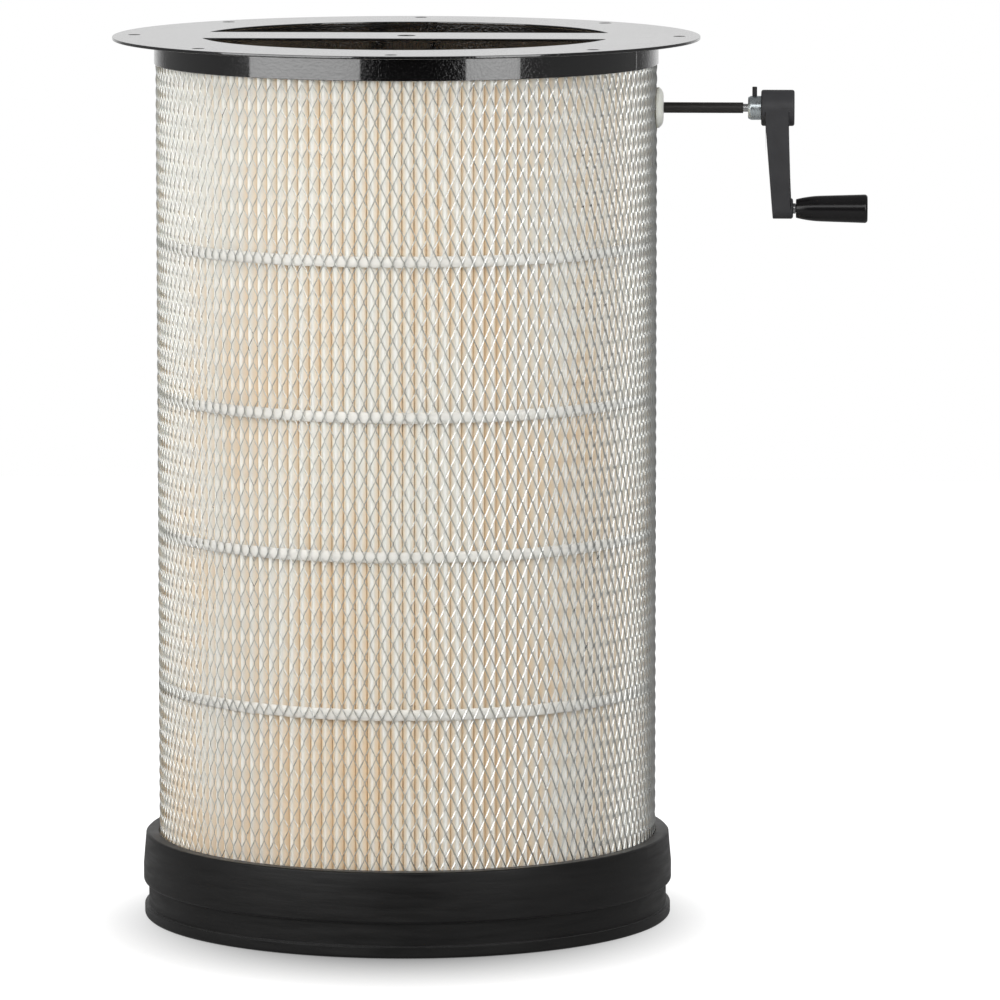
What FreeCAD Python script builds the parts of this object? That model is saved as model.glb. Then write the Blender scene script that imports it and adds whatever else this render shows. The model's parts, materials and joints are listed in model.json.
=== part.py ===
import FreeCAD, Part
from FreeCAD import Placement, Rotation, Vector
import math
import os

# Pleated dust filter cartridge, open at both ends, with a hand crank that turns
# cleaning paddles inside it. Millimetres.
#
# The origin is on the cartridge's axis, in the plane of the rubber collar's rim.
# +Z runs up to the inlet flange, and +X is the side the crank comes out of.
# The paddles lie along X at rest.

# Stack of the cartridge, from the rim up
cartridge_height = 885.0
pocket_floor_z = 70.0
flange_thickness = 3.0
upper_band_height = 24.0
inner_band_height = 30.0
potting_height = 16.0

# Jacket, which the radii below are measured from
jacket_radius = 250.0
jacket_thickness = 1.5

# Inlet flange
flange_overhang = 43.0
bolt_edge_distance = 21.0
bolt_hole_radius = 6.0
bolt_count = 8
opening_inset = 45.0
crossbar_width = 88.0
centre_hole_radius = 9.0
opening_corner_radius = 2.0

# Sheet metal bands
band_thickness = 1.2
band_seat_gap = 0.2
band_lap_length = 14.0
band_lap_angle = -23.0

# Pleated media
pleat_count = 129
pleat_jacket_gap = 2.0
pleat_band_gap = 1.0
media_thickness = 1.0
crown_half_width = 2.1
valley_half_width = 0.6
bead_shares = (0.211, 0.406, 0.578, 0.769)
bead_width = 9.0
bead_thickness = 1.4
bead_gap = 0.1

# Diamonds of the expanded metal, drawn fewer and larger than the real sheet's
diamond_columns = 17
diamond_rows = 7
diamond_strand = 9.0
diamond_margin = 9.0

# Rubber collar, its walls measured from the jacket's outside
collar_bore_clearance = 1.0
collar_lip_reach = 6.0
collar_shelf_thickness = 16.0
collar_pocket_depth = 15.0
collar_top_wall = 13.4
collar_band_wall = 16.0
collar_recess_wall = 10.8
collar_rim_wall = 15.0
collar_rim_height = 11.5
collar_recess_width = 23.0
collar_inner_lip_height = 10.0
collar_bead_height = 18.0
collar_edge = 2.0

# Lower inner band and steady bar
lower_band_height = 28.0
steady_bar_rise = 14.0
steady_bar_width = 30.0
steady_bar_thickness = 4.0

# Crank axis and shaft
crank_axis_drop = 71.0
shaft_radius = 4.0
running_clearance = 0.05
end_float = 0.3

# Bevel gears: one equal pair, teeth cut to a common apex
gear_module = 1.5
gear_teeth = 20
gear_face_width = 7.0
gear_addendum = 1.35
gear_dedendum = 1.8
gear_backlash = 0.3
gear_rim_thickness = 2.8
gear_hub_radius = 10.0
gear_mounting_distance = 23.7
pressure_angle = math.radians(20.0)
gear_screw_radius = 1.5

# Gear bracket
bracket_width = 50.0
bracket_thickness = 3.0
bracket_flare = 4.5
bracket_flare_height = 5.5
bracket_bend_radius = 3.0
bush_wall = 2.0
bush_flange_radius = 9.0
bush_flange_thickness = 1.5

# Wall bush and its nut
wall_bush_barrel_radius = 15.0
wall_bush_flange_radius = 20.4
wall_bush_face_radius = 11.5
wall_bush_projection = 6.4
wall_bush_rim = 1.6
wall_bush_inner_reach = 9.0
wall_hole_clearance = 0.3
wall_nut_across_flats = 36.0
wall_nut_thickness = 6.0
wall_nut_setback = 1.5

# Sleeve, hub insert and grub screw, measured out from the wall bush's face
sleeve_wall = 1.35
sleeve_length = 79.0
insert_setback = 84.2
insert_radius = 12.0
insert_length = 13.0
insert_chamfer = 1.5
insert_root_radius = 9.0
insert_root_length = 24.0
grub_screw_radius = 2.4
grub_screw_reach = 21.0
grub_socket_across = 2.5
grub_socket_depth = 2.5

# Crank arm
crank_throw = 100.4
hub_radius = 18.0
hub_length = 33.2
hub_chamfer = 1.3
arm_inset_at_hub = 4.6
arm_thickness_at_hub = 23.0
arm_inset_at_end = 12.0
arm_thickness_at_end = 18.0
arm_end_radius = 10.3
boss_proud = 2.2
boss_chamfer = 1.4

# Handle
pin_radius = 4.0
pin_neck_radius = 5.2
pin_neck_length = 2.5
pin_root_length = 18.0
pin_length = 58.0
pin_snap_height = 0.7
pin_snap_length = 3.0
grip_length = 71.5
grip_start_radius = 9.3
grip_waist_radius = 12.9
grip_waist_position = 25.0
grip_end_radius = 14.25
grip_edge_radius = 3.0
grip_wall_at_end = 10.0

# Paddles
paddle_shaft_radius = 6.0
paddle_shaft_tail = 5.0
flap_running_gap = 0.4
flap_thickness = 3.0
flap_overhang = 21.8
flap_tail = 10.0
flap_floor_gap = 36.0
flap_gear_gap = 56.0
paddle_arm_low_inset = 54.0
paddle_arm_high_inset = 48.0
arm_bar_height = 30.0
arm_bar_thickness = 4.0
arm_boss_radius = 13.0
rail_width = 25.0
rail_thickness = 3.0
rail_end_inset = 5.0
clamp_width = 16.0
clamp_thickness = 2.0
paddle_bolt_inset = 9.0
paddle_bolt_radius = 2.5
paddle_bolt_head_across = 8.0
paddle_bolt_head_height = 3.5
paddle_nut_height = 4.0
paddle_bolt_tip = 1.0
arm_screw_length = 12.0
arm_screw_radius = 2.5
thrust_collar_radius = 11.0
thrust_collar_height = 9.0
retaining_ring_radius = 9.5
retaining_ring_height = 1.5

# Places that follow from the sizes above
flange_radius = jacket_radius + flange_overhang
bolt_circle_radius = flange_radius - bolt_edge_distance
opening_radius = jacket_radius - opening_inset
flange_bottom_z = cartridge_height - flange_thickness
potting_bottom_z = flange_bottom_z - potting_height
crank_axis_z = cartridge_height - crank_axis_drop
inner_band_outside = opening_radius + band_thickness
outer_band_inside = jacket_radius + band_seat_gap
pleat_root_radius = inner_band_outside + pleat_band_gap
jacket_inside = jacket_radius - jacket_thickness
pleat_crown_radius = jacket_inside - pleat_jacket_gap
bead_heights = [pocket_floor_z + share * (potting_bottom_z - pocket_floor_z) for share in bead_shares]
collar_height = pocket_floor_z + collar_pocket_depth
collar_bore_radius = jacket_radius + collar_bore_clearance
collar_shelf_radius = opening_radius - collar_lip_reach
collar_top_radius = jacket_radius + collar_top_wall
collar_band_radius = jacket_radius + collar_band_wall
collar_recess_radius = jacket_radius + collar_recess_wall
collar_rim_radius = jacket_radius + collar_rim_wall
wall_bush_face_x = jacket_radius + wall_bush_projection
bush_radius = shaft_radius + bush_wall
bracket_inside = gear_mounting_distance + end_float + bush_flange_thickness
bracket_outside = bracket_inside + bracket_thickness
bracket_bottom_z = crank_axis_z - bracket_outside
insert_start_x = wall_bush_face_x + insert_setback
hub_start_x = insert_start_x + insert_length
hub_end_x = hub_start_x + hub_length
handle_axis_z = crank_axis_z - crank_throw
boss_face_x = hub_start_x + arm_inset_at_end + arm_thickness_at_end + boss_proud
grip_start_x = boss_face_x + pin_neck_length + end_float
steady_bar_z = pocket_floor_z + steady_bar_rise
flap_tip_radius = pleat_root_radius - flap_running_gap
arm_bar_reach = flap_tip_radius - flap_overhang
rail_inner_x = arm_bar_reach - rail_width
paddle_bolt_x = arm_bar_reach - paddle_bolt_inset
flap_inner_x = paddle_bolt_x - flap_tail
clamp_inner_x = paddle_bolt_x - clamp_width / 2
clamp_outer_x = paddle_bolt_x + clamp_width / 2
flap_bottom_z = pocket_floor_z + flap_floor_gap
flap_top_z = crank_axis_z - flap_gear_gap
arm_heights = (flap_bottom_z + paddle_arm_low_inset,
               (flap_bottom_z + paddle_arm_low_inset + flap_top_z - paddle_arm_high_inset) / 2,
               flap_top_z - paddle_arm_high_inset)
rail_outside_y = arm_bar_thickness / 2 + rail_thickness
flap_outside_y = rail_outside_y + flap_thickness
clamp_outside_y = flap_outside_y + clamp_thickness
thrust_collar_z = steady_bar_z + steady_bar_thickness + bush_flange_thickness + end_float


def cylinder(radius, start, end, x=0.0, y=0.0):
    """Upright cylinder from height start to height end."""
    return Part.makeCylinder(radius, end - start, Vector(x, y, start))


def tube(outside, inside, start, end):
    return cylinder(outside, start, end).cut(cylinder(inside, start, end))


def box(low, high):
    size = [b - a for a, b in zip(low, high)]
    return Part.makeBox(*size, Vector(*low))


def hexagon(across, start, end):
    """Upright hexagonal prism of a given size across flats."""
    corner = across / math.sqrt(3.0)
    turns = [math.radians(60 * i) for i in range(7)]
    wire = Part.makePolygon([Vector(corner * math.cos(t), corner * math.sin(t), start) for t in turns])
    return Part.Face(wire).extrude(Vector(0, 0, end - start))


def turned(outline):
    """Solid turned about Z from (radius, height) points."""
    points = [Vector(r, 0, z) for r, z in outline]
    face = Part.Face(Part.makePolygon(points + points[:1]))
    return face.revolve(Vector(0, 0, 0), Vector(0, 0, 1), 360)


def along_x(shape, height=crank_axis_z):
    """Lay an upright shape along +X at a height, with its own height as x."""
    laid = shape.copy()
    laid.Placement = Placement(Vector(0, 0, height), Rotation(Vector(0, 1, 0), 90))
    return laid


def along_y(shape, x, height):
    """Lay an upright shape along +Y at an x and a height."""
    laid = shape.copy()
    laid.Placement = Placement(Vector(x, 0, height), Rotation(Vector(1, 0, 0), -90))
    return laid


def half_turn(shape):
    turned_shape = shape.copy()
    turned_shape.rotate(Vector(0, 0, 0), Vector(0, 0, 1), 180)
    return turned_shape


def inlet_flange():
    plate = cylinder(flange_radius, flange_bottom_z, cartridge_height)
    opening = cylinder(opening_radius, flange_bottom_z, cartridge_height)
    reach = 2 * flange_radius
    half = crossbar_width / 2
    bar = box((-reach, -half, flange_bottom_z), (reach, half, cartridge_height))
    opening = opening.cut(bar)
    corners = [edge for edge in opening.Edges
               if edge.Length < 2 * flange_thickness and edge.BoundBox.ZLength > flange_thickness / 2]
    plate = plate.cut(opening.makeFillet(opening_corner_radius, corners))
    holes = [cylinder(centre_hole_radius, flange_bottom_z, cartridge_height)]
    for i in range(bolt_count):
        turn = 2 * math.pi * i / bolt_count
        holes.append(cylinder(bolt_hole_radius, flange_bottom_z, cartridge_height,
                              bolt_circle_radius * math.cos(turn), bolt_circle_radius * math.sin(turn)))
    return plate.cut(holes)


def upper_outer_band():
    """Rolled strip whose ends lap over each other."""
    bottom = flange_bottom_z - upper_band_height
    outside = outer_band_inside + band_thickness
    band = tube(outside, outer_band_inside, bottom, flange_bottom_z)
    lap_angle = math.degrees(band_lap_length / outside)
    lap = Part.makeCylinder(outside + band_thickness, upper_band_height, Vector(0, 0, bottom),
                            Vector(0, 0, 1), lap_angle)
    lap = lap.cut(cylinder(outside, bottom, flange_bottom_z))
    lap.rotate(Vector(0, 0, 0), Vector(0, 0, 1), band_lap_angle)
    return band.fuse(lap)


def upper_inner_band():
    return tube(inner_band_outside, opening_radius, flange_bottom_z - inner_band_height, flange_bottom_z)


def potting_ring():
    return tube(outer_band_inside, inner_band_outside, potting_bottom_z, flange_bottom_z)


def wall_hole():
    """Round the wall bush's barrel, through the jacket and the pleats."""
    return along_x(cylinder(wall_bush_barrel_radius + wall_hole_clearance, 0, 2 * jacket_radius))


def fold_line(crown_radius, crown_half, root_radius, root_half):
    """Closed zigzag of blunt crowns and roots."""
    points = []
    pitch = 2 * math.pi / pleat_count
    for i in range(pleat_count):
        crown = i * pitch
        root = crown + pitch / 2
        for radius, turn in ((crown_radius, crown - crown_half / crown_radius),
                             (crown_radius, crown + crown_half / crown_radius),
                             (root_radius, root - root_half / root_radius),
                             (root_radius, root + root_half / root_radius)):
            points.append(Vector(radius * math.cos(turn), radius * math.sin(turn), pocket_floor_z))
    return Part.makePolygon(points + points[:1])


def pleated_media():
    """One sheet folded into pleats and joined end to end."""
    outer = fold_line(pleat_crown_radius, crown_half_width,
                      pleat_root_radius + media_thickness, valley_half_width)
    inner = fold_line(pleat_crown_radius - media_thickness, crown_half_width - media_thickness,
                      pleat_root_radius, valley_half_width + media_thickness)
    rise = Vector(0, 0, potting_bottom_z - pocket_floor_z)
    sheet = Part.Face(outer).extrude(rise).cut(Part.Face(inner).extrude(rise))
    return sheet.cut(wall_hole())


def glue_bead(height):
    inside = pleat_crown_radius + bead_gap
    return tube(inside + bead_thickness, inside, height - bead_width / 2, height + bead_width / 2)


def expanded_metal_jacket():
    """Sheet slit and stretched into a lattice of upright diamonds, rolled into a tube."""
    sheet = tube(jacket_radius, jacket_inside, pocket_floor_z, potting_bottom_z)
    low = collar_height + diamond_margin
    high = flange_bottom_z - upper_band_height - diamond_margin
    half_high = (high - low) / (diamond_rows + 1)
    half_wide = math.pi * jacket_radius / diamond_columns
    slant = math.hypot(half_high, half_wide)
    shrink = 1 - diamond_strand / 2 * slant / (half_high * half_wide)
    wide, tall = half_wide * shrink, half_high * shrink
    corners = [Vector(0, wide, 0), Vector(0, 0, tall), Vector(0, -wide, 0), Vector(0, 0, -tall)]
    inside = Vector(jacket_inside / 2, 0, 0)
    face = Part.Face(Part.makePolygon([c + inside for c in corners + corners[:1]]))
    diamond = face.extrude(Vector(jacket_radius, 0, 0))
    gaps = []
    for row in range(diamond_rows):
        height = low + half_high * (row + 1)
        # The top row is turned so that the wall bush sits on full metal
        start = 0.5 if (diamond_rows - 1 - row) % 2 == 0 else 0.0
        for column in range(diamond_columns):
            gap = diamond.copy()
            gap.rotate(Vector(0, 0, 0), Vector(0, 0, 1), 360 * (column + start) / diamond_columns)
            gap.translate(Vector(0, 0, height))
            gaps.append(gap)
    return sheet.cut(gaps + [wall_hole()])


def rubber_collar():
    """Moulded ring: pocket for the pleats on top, strap recess outside, open skirt below."""
    edge = collar_edge
    rim_top = collar_rim_height
    recess_top = collar_rim_height + collar_recess_width
    bead_z = recess_top + collar_bead_height
    pocket_outside = jacket_radius + band_seat_gap
    pocket_inside = opening_radius - band_seat_gap
    shelf_bottom = pocket_floor_z - collar_shelf_thickness
    slope = collar_bore_radius - collar_shelf_radius
    outline = [(collar_bore_radius, 0),
               (collar_rim_radius - edge, 0),
               (collar_rim_radius, edge),
               (collar_rim_radius, rim_top),
               (collar_recess_radius, rim_top),
               (collar_recess_radius, recess_top),
               (collar_band_radius - edge, recess_top),
               (collar_band_radius, recess_top + edge),
               (collar_band_radius, bead_z),
               (collar_top_radius, collar_height - edge),
               (collar_top_radius - edge, collar_height),
               (pocket_outside, collar_height),
               (pocket_outside, pocket_floor_z),
               (pocket_inside, pocket_floor_z),
               (pocket_inside, pocket_floor_z + collar_inner_lip_height),
               (collar_shelf_radius, pocket_floor_z + collar_inner_lip_height),
               (collar_shelf_radius, shelf_bottom),
               (collar_shelf_radius + slope * 0.8, shelf_bottom),
               (collar_bore_radius, shelf_bottom - slope * 0.2)]
    return turned(outline)


def lower_inner_band():
    return tube(inner_band_outside, opening_radius, pocket_floor_z, pocket_floor_z + lower_band_height)


def lower_steady_bar():
    """Flat bar across the lower band, welded to it, with a hole for the steady bush."""
    top = steady_bar_z + steady_bar_thickness
    bar = box((-opening_radius, -steady_bar_width / 2, steady_bar_z),
              (opening_radius, steady_bar_width / 2, top))
    bar = bar.common(cylinder(opening_radius, steady_bar_z, top))
    return bar.cut(cylinder(paddle_shaft_radius + bush_wall, steady_bar_z, top))


def flanged_bush(shaft, barrel_length):
    """Upright bush: flange on top, its face at height 0, barrel below it."""
    barrel = cylinder(shaft + bush_wall, -bush_flange_thickness - barrel_length, 0)
    flange = cylinder(shaft + bush_wall + bush_flange_radius - bush_radius, -bush_flange_thickness, 0)
    bore = cylinder(shaft + running_clearance, -bush_flange_thickness - barrel_length, 0)
    return barrel.fuse(flange).cut(bore).removeSplitter()


def steady_bush():
    bush = flanged_bush(paddle_shaft_radius, steady_bar_thickness)
    bush.translate(Vector(0, 0, thrust_collar_z - end_float))
    return bush


def bracket_thrust_bush():
    """Carries the bevel gear and the paddle shaft on the bracket's floor."""
    bush = flanged_bush(shaft_radius, bracket_thickness)
    bush.translate(Vector(0, 0, bracket_bottom_z + bracket_thickness + bush_flange_thickness))
    return bush


def bracket_shaft_bush():
    """In the bracket's leg on the crank's side, its flange towards the pinion."""
    bush = flanged_bush(shaft_radius, bracket_thickness)
    bush.rotate(Vector(0, 0, 0), Vector(0, 1, 0), -90)
    bush.translate(Vector(bracket_inside - bush_flange_thickness, 0, crank_axis_z))
    return bush


def gear_bracket():
    """Strip bent into a bucket, flared where it is welded under the crossbar."""
    flared_in = bracket_inside + bracket_flare
    flared_out = bracket_outside + bracket_flare
    bend_z = flange_bottom_z - bracket_flare_height
    floor_z = bracket_bottom_z + bracket_thickness
    right = [(bracket_outside, bracket_bottom_z), (bracket_outside, bend_z),
             (flared_out, flange_bottom_z), (flared_in, flange_bottom_z),
             (bracket_inside, bend_z), (bracket_inside, floor_z)]
    left = [(-x, z) for x, z in reversed(right)]
    points = [Vector(x, -bracket_width / 2, z) for x, z in right + left]
    strip = Part.Face(Part.makePolygon(points + points[:1])).extrude(Vector(0, bracket_width, 0))
    bends = [edge for edge in strip.Edges
             if edge.BoundBox.YLength > bracket_width / 2
             and abs(edge.BoundBox.ZMin - bracket_bottom_z) < bracket_thickness / 2]
    strip = strip.makeFillet(bracket_bend_radius, bends)
    shaft_hole = along_x(cylinder(bush_radius, 0, 2 * bracket_outside))
    return strip.cut([shaft_hole, cylinder(bush_radius, bracket_bottom_z, floor_z)])


def tooth_outline():
    """Half-widths of a bevel tooth at heights over the pitch line, on its virtual spur gear."""
    virtual_teeth = gear_teeth * math.sqrt(2.0)
    pitch_radius = gear_module * virtual_teeth / 2
    base_radius = pitch_radius * math.cos(pressure_angle)

    def involute(angle):
        return math.tan(angle) - angle

    half_angle = math.pi / (2 * virtual_teeth) - gear_backlash / (2 * pitch_radius)
    outline = []
    for height in (-gear_dedendum, -gear_dedendum / 2, 0.0, gear_addendum):
        radius = pitch_radius + height
        slope = math.acos(min(1.0, base_radius / radius))
        half = half_angle + involute(pressure_angle) - involute(slope)
        outline.append((radius * math.cos(half) - pitch_radius, radius * math.sin(half)))
    return outline


def bevel_gear_blank(start_angle):
    """Bevel gear with its apex at the origin, its axis down -Z and its hub below.

    Its faces are flat, and those of the teeth run to the apex.
    """
    pitch_radius = gear_module * gear_teeth / 2
    share = 1 - gear_face_width / (pitch_radius * math.sqrt(2.0))
    outline = tooth_outline()
    profile = [Vector(pitch_radius + h / math.sqrt(2.0), w, h / math.sqrt(2.0) - pitch_radius)
               for h, w in [(h, -w) for h, w in outline] + [(h, w) for h, w in reversed(outline)]]
    foot = pitch_radius - (gear_dedendum + gear_rim_thickness) / math.sqrt(2.0)
    foot_z = foot - 2 * pitch_radius
    foot_y = foot * profile[-1].y / profile[-1].x
    profile += [Vector(foot, foot_y, foot_z), Vector(foot, -foot_y, foot_z)]
    teeth = []
    for i in range(gear_teeth):
        turn = Rotation(Vector(0, 0, 1), start_angle + 360 * i / gear_teeth)
        teeth.append([turn.multVec(point) for point in profile])
    loops = [[point for tooth in teeth for point in (tooth[-1], tooth[-2])],
             [tooth[k] * share for tooth in teeth for k in (0, -3)]]
    for tooth, following in zip(teeth, teeth[1:] + teeth[:1]):
        ridge = tooth[:-2]
        loops.append(tooth)
        loops.append([point * share for point in ridge])
        for a, b in zip(ridge, ridge[1:] + following[:1]):
            loops.append([a, b, b * share, a * share])
        loops.append([ridge[-1], following[0], following[-1], tooth[-2]])
    faces = [Part.Face(Part.makePolygon(loop + loop[:1])) for loop in loops]
    body = Part.Solid(Part.Shell(faces))
    body = body.fuse(cylinder(gear_hub_radius, -gear_mounting_distance, foot_z))
    return body.cut(cylinder(shaft_radius, -gear_mounting_distance, 0))


def gear_screw_height():
    """Height of the grub screw in the gear's hub, over the hub's end."""
    pitch_radius = gear_module * gear_teeth / 2
    back = (gear_dedendum + gear_rim_thickness) / math.sqrt(2.0)
    return (gear_mounting_distance - pitch_radius - back) / 2


def hub_screw(start=shaft_radius):
    """Grub screw that lies along +X in the hub of an upright gear."""
    height = -gear_mounting_distance + gear_screw_height()
    return along_x(cylinder(gear_screw_radius, start, gear_hub_radius), height)


def as_gear(shape):
    """From the apex at the origin to the gear's place, on the paddle shaft."""
    return shape.translated(Vector(0, 0, crank_axis_z))


def as_pinion(shape):
    """From the apex at the origin to the pinion's place: its hub towards the crank."""
    laid = shape.copy()
    laid.rotate(Vector(0, 0, 0), Vector(0, 1, 0), -90)
    return laid.translated(Vector(0, 0, crank_axis_z))


def bevel_gear():
    return as_gear(bevel_gear_blank(180 / gear_teeth).cut(hub_screw(0)))


def bevel_pinion():
    return as_pinion(bevel_gear_blank(0).cut(hub_screw(0)))


def wall_bush():
    """Nylon bush with a domed flange that is hollowed to sit on the jacket."""
    seat = jacket_radius - 4 * wall_bush_rim
    rim_x = jacket_radius + wall_bush_rim
    dome = Part.Arc(Vector(wall_bush_flange_radius, 0, rim_x),
                    Vector(0.4 * wall_bush_face_radius + 0.6 * wall_bush_flange_radius, 0,
                           rim_x + 0.72 * (wall_bush_face_x - rim_x)),
                    Vector(wall_bush_face_radius, 0, wall_bush_face_x)).toShape()
    sides = Part.makePolygon([Vector(wall_bush_face_radius, 0, wall_bush_face_x),
                              Vector(0, 0, wall_bush_face_x),
                              Vector(0, 0, seat),
                              Vector(wall_bush_flange_radius, 0, seat),
                              Vector(wall_bush_flange_radius, 0, rim_x)])
    face = Part.Face(Part.Wire([dome] + sides.Edges))
    flange = along_x(face.revolve(Vector(0, 0, 0), Vector(0, 0, 1), 360))
    flange = flange.cut(cylinder(jacket_radius, 0, cartridge_height))
    inner_x = opening_radius - wall_bush_inner_reach
    barrel = along_x(cylinder(wall_bush_barrel_radius, inner_x, jacket_radius + wall_bush_rim))
    bore = along_x(cylinder(shaft_radius + running_clearance, 0, wall_bush_face_x))
    return flange.fuse(barrel).cut(bore).removeSplitter()


def wall_bush_nut():
    outer_face = opening_radius + band_thickness - wall_nut_setback + pleat_band_gap
    nut = hexagon(wall_nut_across_flats, outer_face - wall_nut_thickness, outer_face)
    nut = nut.cut(cylinder(wall_bush_barrel_radius, outer_face - wall_nut_thickness, outer_face))
    return along_x(nut)


def drive_shaft():
    pitch_radius = gear_module * gear_teeth / 2
    start = pitch_radius - gear_face_width / 2
    end = hub_start_x + insert_root_length
    return along_x(cylinder(shaft_radius, start, end))


def shaft_sleeve():
    start = wall_bush_face_x + end_float
    return along_x(tube(shaft_radius + sleeve_wall, shaft_radius, start, start + sleeve_length))


def insert_screw_hole():
    return cylinder(grub_screw_radius, 0, insert_radius,
                    insert_start_x + insert_length / 2).translated(Vector(0, 0, crank_axis_z))


def hub_insert():
    """Steel boss that the arm is moulded round."""
    end = hub_start_x + insert_root_length
    insert = along_x(turned([(shaft_radius, insert_start_x),
                             (insert_radius - insert_chamfer, insert_start_x),
                             (insert_radius, insert_start_x + 2 * insert_chamfer),
                             (insert_radius, hub_start_x),
                             (insert_root_radius, hub_start_x),
                             (insert_root_radius, end),
                             (shaft_radius, end)]))
    return insert.cut(insert_screw_hole())


def hub_grub_screw():
    x = insert_start_x + insert_length / 2
    screw = cylinder(grub_screw_radius, shaft_radius, grub_screw_reach)
    screw = screw.cut(hexagon(grub_socket_across, grub_screw_reach - grub_socket_depth, grub_screw_reach))
    return screw.translated(Vector(x, 0, crank_axis_z))


def arm_front_outline():
    """The arm as the crank's axis sees it: two rounds and their common tangents."""
    lean = math.asin((hub_radius - arm_end_radius) / crank_throw)
    shapes = []
    big, small = hub_radius, arm_end_radius
    top = [Vector(0, s * big * math.cos(lean), crank_axis_z - big * math.sin(lean)) for s in (1, -1)]
    low = [Vector(0, s * small * math.cos(lean), handle_axis_z - small * math.sin(lean)) for s in (1, -1)]
    shapes.append(Part.Arc(top[0], Vector(0, 0, crank_axis_z + big), top[1]).toShape())
    shapes.append(Part.LineSegment(top[1], low[1]).toShape())
    shapes.append(Part.Arc(low[1], Vector(0, 0, handle_axis_z - small), low[0]).toShape())
    shapes.append(Part.LineSegment(low[0], top[0]).toShape())
    return Part.Face(Part.Wire(shapes))


def crank_arm():
    """Moulded arm: the front outline and the tapering side outline share their common solid."""
    front = arm_front_outline().extrude(Vector(2 * hub_end_x, 0, 0))
    low_z = handle_axis_z - arm_end_radius
    hub_low_z = crank_axis_z - hub_radius
    start, end = hub_start_x + arm_inset_at_hub, hub_start_x + arm_inset_at_end
    side = [(start, crank_axis_z), (start, hub_low_z), (end, low_z),
            (end + arm_thickness_at_end, low_z),
            (start + arm_thickness_at_hub, hub_low_z), (start + arm_thickness_at_hub, crank_axis_z)]
    points = [Vector(x, -2 * hub_radius, z) for x, z in side]
    wedge = Part.Face(Part.makePolygon(points + points[:1])).extrude(Vector(0, 4 * hub_radius, 0))
    blade = front.common(wedge)
    hub = along_x(turned([(0, hub_start_x), (hub_radius - hub_chamfer, hub_start_x),
                          (hub_radius, hub_start_x + hub_chamfer),
                          (hub_radius, hub_end_x - hub_chamfer),
                          (hub_radius - hub_chamfer, hub_end_x), (0, hub_end_x)]))
    boss = along_x(turned([(0, end + arm_thickness_at_end / 2),
                           (arm_end_radius, end + arm_thickness_at_end / 2),
                           (arm_end_radius, boss_face_x - boss_chamfer),
                           (arm_end_radius - boss_chamfer, boss_face_x), (0, boss_face_x)]), handle_axis_z)
    arm = blade.fuse([hub, boss]).removeSplitter()
    insert_pocket = along_x(cylinder(insert_root_radius, hub_start_x, hub_start_x + insert_root_length))
    pin_hole = along_x(cylinder(pin_radius, boss_face_x - pin_root_length, boss_face_x), handle_axis_z)
    return arm.cut([insert_pocket, pin_hole])


def handle_pin():
    """Turned pin with a neck against the boss and a snap rim near its tip."""
    start = boss_face_x - pin_root_length
    tip = grip_start_x + pin_length
    rim = tip - 2 * pin_snap_length
    return along_x(turned([(0, start), (pin_radius, start), (pin_radius, boss_face_x),
                           (pin_neck_radius, boss_face_x), (pin_neck_radius, grip_start_x - end_float),
                           (pin_radius, grip_start_x - end_float), (pin_radius, rim),
                           (pin_radius + pin_snap_height, rim),
                           (pin_radius, rim + pin_snap_length), (pin_radius, tip), (0, tip)]),
                   handle_axis_z)


def handle_grip():
    """Turning grip, swelling from its neck, with a blind bore and a groove for the snap rim."""
    end = grip_start_x + grip_length
    edge_x = end - grip_edge_radius
    waist_x = grip_start_x + grip_waist_position
    taper = (grip_end_radius - grip_waist_radius) / (edge_x - waist_x)
    swell = (grip_waist_radius - grip_start_radius) / 4 - taper * grip_waist_position / 4
    neck = Part.Arc(Vector(grip_start_radius, 0, grip_start_x),
                    Vector((grip_start_radius + grip_waist_radius) / 2 + swell, 0,
                           grip_start_x + grip_waist_position / 2),
                    Vector(grip_waist_radius, 0, waist_x))
    flank = Part.LineSegment(Vector(grip_waist_radius, 0, waist_x), Vector(grip_end_radius, 0, edge_x))
    bend = grip_edge_radius * (1 - math.sqrt(0.5))
    edge = Part.Arc(Vector(grip_end_radius, 0, edge_x), Vector(grip_end_radius - bend, 0, end - bend),
                    Vector(grip_end_radius - grip_edge_radius, 0, end))
    closing = Part.makePolygon([Vector(grip_end_radius - grip_edge_radius, 0, end), Vector(0, 0, end),
                                Vector(0, 0, grip_start_x), Vector(grip_start_radius, 0, grip_start_x)])
    face = Part.Face(Part.Wire([neck.toShape(), flank.toShape(), edge.toShape()] + closing.Edges))
    body = face.revolve(Vector(0, 0, 0), Vector(0, 0, 1), 360)
    bore_radius = pin_radius + running_clearance
    rim = grip_start_x + pin_length - 2 * pin_snap_length
    bore = cylinder(bore_radius, grip_start_x, end - grip_wall_at_end)
    groove = cylinder(bore_radius + pin_snap_height, rim - end_float, rim + pin_snap_length + end_float)
    return along_x(body.cut([bore, groove]), handle_axis_z)


def paddle_shaft():
    """Turned down where the bevel gear and its bush sit."""
    shoulder = bracket_bottom_z - end_float
    tail = steady_bar_z - paddle_shaft_tail
    pitch_radius = gear_module * gear_teeth / 2
    top = crank_axis_z - pitch_radius + gear_face_width / 2
    thick = cylinder(paddle_shaft_radius, tail, shoulder)
    return thick.fuse(cylinder(shaft_radius, shoulder, top)).removeSplitter()


def paddle_bolt_heights():
    """One bolt at each arm, and one halfway between two arms."""
    between = [(a + b) / 2 for a, b in zip(arm_heights, arm_heights[1:])]
    return sorted(arm_heights + tuple(between))


def paddle_bolt_holes():
    """Holes for one rail's bolts, through all that they clamp."""
    long_hole = cylinder(paddle_bolt_radius, -4 * arm_bar_thickness, 2 * clamp_outside_y)
    return [along_y(long_hole, paddle_bolt_x, z) for z in paddle_bolt_heights()]


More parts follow.
